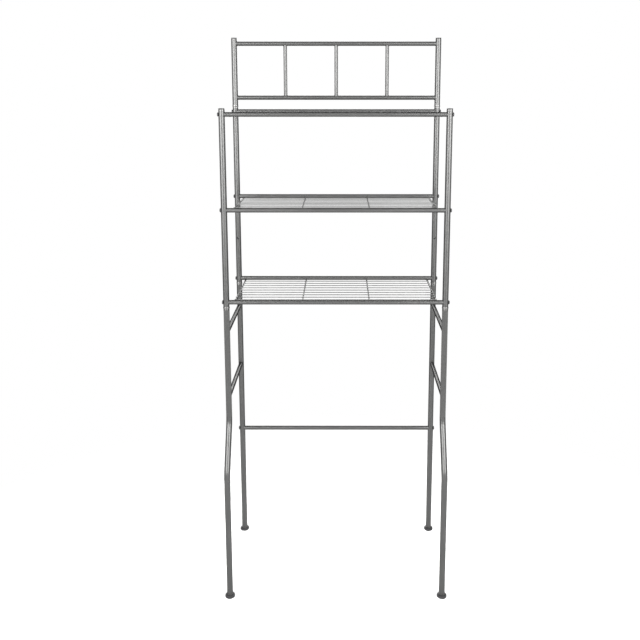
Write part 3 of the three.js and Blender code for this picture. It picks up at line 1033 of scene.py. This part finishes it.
def endPlug(name, node):
    seat = ends(node, "z")[1] - plug["flange"]
    top = plug["flange"]
    radius = tube["radius"]
    rows = [(-plug["depth"], 0), (-plug["depth"], plug["stem"] - plug["stemEdge"]),
            (-plug["depth"] + plug["stemEdge"], plug["stem"]), (0, plug["stem"]),
            (0, radius - plug["underEdge"], 0.2), (plug["underEdge"], radius, 0.1),
            (top - plug["edge"], radius, 0.1)]
    for step in range(1, plug["edgeSteps"] + 1):
        angle = math.pi / 2 * step / plug["edgeSteps"]
        rows.append((top - plug["edge"] * (1 - math.sin(angle)),
                     radius - plug["edge"] * (1 - math.cos(angle)), 0.3))
    rows += [(top, radius - plug["rim"], 0.1), (top - plug["dish"], radius - plug["dishRim"], 0),
             (top - plug["dish"] * 0.6, radius * 0.4, 0), (top - plug["dish"] * 0.5, plug["gateOuter"], 0),
             (top - plug["dish"] * 1.2, plug["gateInner"], 0.3), (top - plug["dish"] * 1.2, 0)]
    piece = uprightPiece(name, node, rows, plug["sides"], plugMaterial, height=seat)
    settle(piece, "rack", "plug_plastic", node)


for side in bothSides:
    endPlug(side + "FrontPostPlug", side + "_front_post_plug")
    endPlug(side + "GalleryPostPlug", side + "_gallery_post_plug")
print("end plugs made")

glide = {
    "radius": 0.0135,
    "height": 0.007,
    "rim": 0.0032,
    "topRadius": 0.0100,
    "socket": 0.0043,
    "socketBottom": 0.003,
    "recess": 0.0005,
    "recessRadius": 0.0088,
    "recessRim": 0.0093,
    "sole": ((0, 0.0012), (0.0003, 0.0005), (0.0009, 0.0002)),  # up, and in from the radius
    "bandBottom": 0.0013,
    "bandTop": 0.0007,
    "bead": ((0.0003, 0.0002, 0.7), (0, 0.0001, 0.8)),  # down from the rim, out, and wear
    "topSteps": 9,
    "topPower": 0.9,
    "topRound": 0.0006,
    "topEdge": ((0.0002, 0.0003, 0.6), (0, 0.0009, 0.4)),  # down from the top, in, and wear
    "ribCount": 40,
    "ribStand": 0.0004,
    "ribSink": 0.0001,
    "ribLift": 0.0002,
    "rib": (0.00048, 0.00046, 0.0010),
    "sides": 64,
}

stud = {
    "radius": 0.004,
    "core": 0.0034,
    "pitch": 0.00125,
    "edge": 0.001,
    "edgeDepth": 0.0008,
    "threadStart": 0.0009,
    "bare": 0.0028,  # length without thread, both ends together
    "clear": 0.00002,
    "sides": 32,
}

insert = {
    "clear": 0.0003,
    "soleEdge": 0.0003,
    "edge": 0.0004,
    "plain": 0.002,
    "groove": 0.0004,
    "grooves": 5,
    "slope": 0.15,
    "sides": 48,
}


def levellingGlide(side, row):
    node = f"{side}_{row}_glide"
    centre = middle(node)
    body = glide["radius"] - glide["ribStand"]
    rows = [(glide["recess"], 0), (glide["recess"], glide["recessRadius"]), (0, glide["recessRim"], 0.8)]
    rows += [(up, glide["radius"] - inset, 1.0) for up, inset in glide["sole"]]
    rows += [(glide["bandBottom"], body, 0.5), (glide["rim"] - glide["bandTop"], body, 0.2)]
    rows += [(glide["rim"] - down, body + out, wearAndHighlight) for down, out, wearAndHighlight in glide["bead"]]
    for step in range(1, glide["topSteps"]):
        turn = step / glide["topSteps"] * math.pi / 2
        sink = (1 - math.cos(turn)) ** glide["topPower"]
        radius = body + (glide["topRadius"] - body) * sink
        rise = (glide["height"] - glide["topRound"] - glide["rim"]) * math.sin(turn)
        rows.append((glide["rim"] + rise, radius, 0.05))
    rows += [(glide["height"] - down, glide["topRadius"] - inset, wearAndHighlight)
             for down, inset, wearAndHighlight in glide["topEdge"]]
    rows += [(glide["height"], glide["socket"], 0.2), (glide["socketBottom"], glide["socket"]),
             (glide["socketBottom"], 0)]
    shell = uprightPiece(node + "Shell", node, rows, glide["sides"], glideMaterial)
    ribs = grow(node + "Ribs", lineMesh("ribStart", [[Vector((0, 0, 0))]]), rimRibs, {
        "Centre": Vector((centre.x, centre.y, glide["rim"] / 2 + glide["ribLift"])),
        "Count": glide["ribCount"], "Rim": body - glide["ribSink"],
        "Rib": Vector(glide["rib"]), "Material": glideMaterial})
    piece = joinPieces(f"{side}{row.title()}Glide", [shell, ribs])
    settle(piece, f"{side}_{row}_foot", "glide_plastic", node)


def glideStud(side, row):
    node = f"{side}_{row}_glide_stud"
    centre = middle(node)
    bottom, top = ends(node, "z")
    rows = [(bottom, 0), (bottom, stud["core"]), (top - stud["edge"], stud["core"]),
            (top, stud["core"] - stud["edgeDepth"], 0.5), (top, 0)]
    core = uprightPiece(node + "Core", node, rows, stud["sides"], zincMetal)
    height = top - bottom - stud["bare"]
    thread = grow(node + "Thread", lineMesh("threadStart", [[Vector((0, 0, 0))]]), screwThread, {
        "Base": Vector((centre.x, centre.y, bottom + stud["threadStart"])),
        "Turns": height / stud["pitch"], "Height": height, "Radius": stud["core"],
        "Depth": stud["radius"] - stud["core"] - stud["clear"], "Material": zincMetal})
    piece = joinPieces(f"{side}{row.title()}GlideStud", [core, thread])
    settle(piece, f"{side}_{row}_foot", "zinc_steel", node)


def legInsert(side, row):
    node = f"{side}_{row}_leg_insert"
    bottom, top = ends(node, "z")
    outer = (ends(node, "x")[1] - ends(node, "x")[0]) / 2
    inner = stud["radius"] + insert["clear"]
    edge, soleEdge = insert["edge"], insert["soleEdge"]
    rows = [(bottom, inner + edge, 0.5), (bottom, outer - soleEdge, 0.7), (bottom + soleEdge, outer, 0.7)]
    step = (top - bottom - 2 * insert["plain"]) / insert["grooves"]
    for number in range(insert["grooves"]):
        start = bottom + insert["plain"] + number * step
        rows += [(start, outer, 0), (start + step * insert["slope"], outer - insert["groove"], 0),
                 (start + step * (1 - insert["slope"]), outer, 0)]
    rows += [(top - edge, outer, 0), (top, outer - edge, 0.4), (top, inner, 0.2),
             (bottom + edge, inner, 0)]
    piece = uprightPiece(f"{side}{row.title()}LegInsert", node, rows, insert["sides"], zincMetal, True)
    settle(piece, "rack", "zinc_steel", node)


for side in bothSides:
    for row in bothRows:
        levellingGlide(side, row)
        glideStud(side, row)
        legInsert(side, row)
print("feet made")

floor = {
    "size": 7.0,
    "centre": (0, -0.55, 0),
    "clear": 0.85,  # full floor out to here, none past the fade
    "fade": 1.5,
    "dim": (0.83, 0.83, 0.83, 1),
    "pale": (0.87, 0.87, 0.87, 1),
    "roughness": 0.9,
}


def layFloor():
    material, graph = newMaterial("paleFloor")
    place = graph.add("ShaderNodeTexCoord", {}, {}, "Object")
    apart = {0: place, 1: floor["centre"]}
    distance = graph.add("ShaderNodeVectorMath", {"operation": "DISTANCE"}, apart, "Value")
    away = (distance - floor["clear"]) / (floor["fade"] - floor["clear"])
    fade = graph.add("ShaderNodeClamp", {}, {"Value": away})
    tone = graph.noise(place, 3.0, 3)
    colour = graph.mixColour(tone, floor["dim"], floor["pale"])
    surface = graph.add("ShaderNodeBsdfDiffuse", {}, {"Color": colour, "Roughness": floor["roughness"]})
    clear = graph.add("ShaderNodeBsdfTransparent", {}, {})
    mixed = graph.add("ShaderNodeMixShader", {}, {"Fac": fade, 1: surface, 2: clear})
    graph.add("ShaderNodeOutputMaterial", {}, {"Surface": mixed})
    half = floor["size"] / 2
    mesh = bpy.data.meshes.new("paleFloor")
    corners = [(-half, -half, 0), (half, -half, 0), (half, half, 0), (-half, half, 0)]
    mesh.from_pydata(corners, [], [(0, 1, 2, 3)])
    mesh.materials.append(material)
    ground = bpy.data.objects.new("paleFloor", mesh)
    bpy.context.scene.collection.objects.link(ground)


studio = {
    "around": 1.2,
    "behind": 0.25,  # share of that light that comes from behind the rack
    "byHeight": [(0.0, 0.9), (0.45, 1.0), (0.6, 0.9), (0.85, 0.4)],
    "byDepth": [(0.36, 0.0), (0.66, 1.0)],
}


def setWorld():
    world = bpy.data.worlds.new("studio")
    world.use_nodes = True
    world.node_tree.nodes.clear()
    graph = Graph(world.node_tree)
    way = graph.add("ShaderNodeTexCoord", {}, {}, "Generated")
    upward = graph.add("ShaderNodeSeparateXYZ", {}, {"Vector": way}, "Z")
    forward = graph.add("ShaderNodeSeparateXYZ", {}, {"Vector": way}, "Y")
    shade = graph.ramp(upward * 0.5 + 0.5, studio["byHeight"])
    front = graph.ramp(0.5 - forward * 0.5, studio["byDepth"])
    share = studio["behind"] + (1 - studio["behind"]) * front
    seen = graph.add("ShaderNodeLightPath", {}, {}, "Is Camera Ray")
    ambient = graph.add("ShaderNodeBackground", {}, {
        "Color": shade, "Strength": share * studio["around"]})
    backdrop = graph.add("ShaderNodeBackground", {}, {"Color": (1, 1, 1, 1), "Strength": 1.0})
    mixed = graph.add("ShaderNodeMixShader", {}, {"Fac": seen, 1: ambient, 2: backdrop})
    graph.add("ShaderNodeOutputWorld", {}, {"Surface": mixed})
    bpy.context.scene.world = world


def softbox(name, place, aim, width, height, glow, reflected=True):
    # glow is how bright its face looks
    light = bpy.data.lights.new(name, "AREA")
    light.shape = "RECTANGLE"
    light.size = width
    light.size_y = height
    light.energy = glow * math.pi * width * height
    holder = bpy.data.objects.new(name, light)
    towards = (Vector(aim) - Vector(place)).normalized()
    turn = towards.to_track_quat("-Z", "Y").to_matrix().to_4x4()
    holder.matrix_world = Matrix.Translation(Vector(place)) @ turn
    holder.visible_camera = False
    holder.visible_glossy = reflected
    bpy.context.scene.collection.objects.link(holder)


layFloor()
setWorld()
softbox("leftSoftbox", (-1.35, -1.75, 1.62), (-0.1, 0, 1.1), 1.5, 1.6, 7.0)
softbox("rightSoftbox", (1.35, -1.75, 1.62), (0.1, 0, 1.1), 1.5, 1.6, 7.0)
softbox("leftSideBox", (-2.4, 0.3, 1.6), (0, 0, 1.2), 1.2, 1.5, 1.1)
softbox("rightSideBox", (2.4, 0.3, 1.6), (0, 0, 1.2), 1.2, 1.5, 1.1)
softbox("topSoftbox", (0, -0.9, 3.0), (0, 0, 1.0), 2.0, 1.2, 1.1)
softbox("backSoftbox", (0, 2.4, 1.75), (0, 0, 1.2), 1.6, 1.2, 7.0)
softbox("floorFill", (0, -0.2, 3.4), (0, 0, 0), 4.0, 4.0, 1.1, False)

view = {
    "place": (0.01368, -1.96374, 1.37715),
    "yaw": 0.0017,
    "pitch": 0.1589,
    "lens": 41.075,
    "shift": (-0.03086, -0.18015),
}
camera = bpy.data.cameras.new("studioCamera")
camera.lens = view["lens"]
camera.sensor_width = 36.0
camera.shift_x, camera.shift_y = view["shift"]
camera.clip_start = 0.05
viewer = bpy.data.objects.new("studioCamera", camera)
viewer.location = view["place"]
viewer.rotation_euler = (math.pi / 2 - view["pitch"], 0, view["yaw"])
bpy.context.scene.collection.objects.link(viewer)
bpy.context.scene.camera = viewer
bpy.context.scene.view_settings.view_transform = "Standard"
bpy.context.scene.view_settings.look = "None"
print("stage, light and camera set")

bpy.context.view_layer.update()
